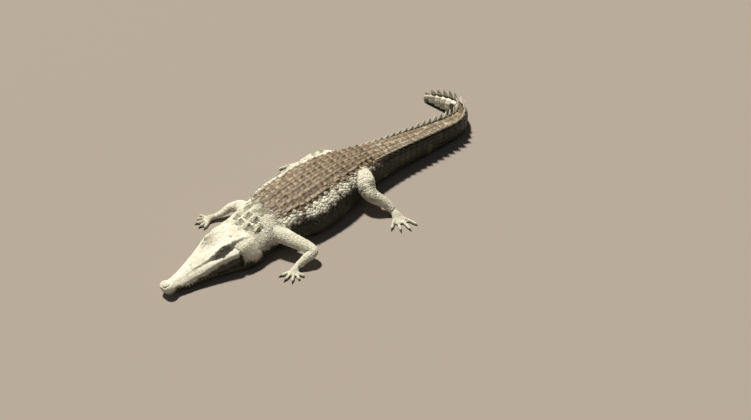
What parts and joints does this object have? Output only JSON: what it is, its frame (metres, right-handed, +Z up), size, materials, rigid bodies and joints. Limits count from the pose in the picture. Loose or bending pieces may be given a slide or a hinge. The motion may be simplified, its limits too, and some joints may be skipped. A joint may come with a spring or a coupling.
{
  "type": "crocodile",
  "caption": "Life-size still model of a basking crocodile lying on its belly, jaws shut, legs spread, keeled back and crested tail curled at the tip.",
  "frame": {"origin": "on the floor, under the middle of the animal's bounding box", "axes": "+Z up; +X from the snout towards the tail; -Y the animal's own left"},
  "size_m": [2.9706, 1.2192, 0.2766],
  "materials": {
    "scaled_back": "dry horny scales, matt",
    "pale_hide": "scaled hide under dried pale mud, matt",
    "claw_horn": "satin horn",
    "eye": "wet gloss"
  },
  "bodies": {
    "root": {"head": "pale_hide", "lower_jaw": "pale_hide", "eye_left": "eye", "eye_right": "eye", "neck": "scaled_back", "trunk_front": "scaled_back", "trunk_rear": "scaled_back", "tail_base": "scaled_back", "tail_middle": "scaled_back", "tail_rear": "scaled_back", "tail_tip": "scaled_back", "foreleg_left_upper": "pale_hide", "foreleg_left_lower": "pale_hide", "foreleg_left_foot": "pale_hide", "foreleg_left_foot_claw_1": "claw_horn", "foreleg_left_foot_claw_2": "claw_horn", "foreleg_left_foot_claw_3": "claw_horn", "foreleg_right_upper": "pale_hide", "foreleg_right_lower": "pale_hide", "foreleg_right_foot": "pale_hide", "foreleg_right_foot_claw_1": "claw_horn", "foreleg_right_foot_claw_2": "claw_horn", "foreleg_right_foot_claw_3": "claw_horn", "hindleg_left_upper": "pale_hide", "hindleg_left_lower": "pale_hide", "hindleg_left_foot": "pale_hide", "hindleg_left_foot_claw_1": "claw_horn", "hindleg_left_foot_claw_2": "claw_horn", "hindleg_left_foot_claw_3": "claw_horn", "hindleg_right_upper": "pale_hide", "hindleg_right_lower": "pale_hide", "hindleg_right_foot": "pale_hide", "hindleg_right_foot_claw_1": "claw_horn", "hindleg_right_foot_claw_2": "claw_horn", "hindleg_right_foot_claw_3": "claw_horn"}
  },
  "joints": []
}
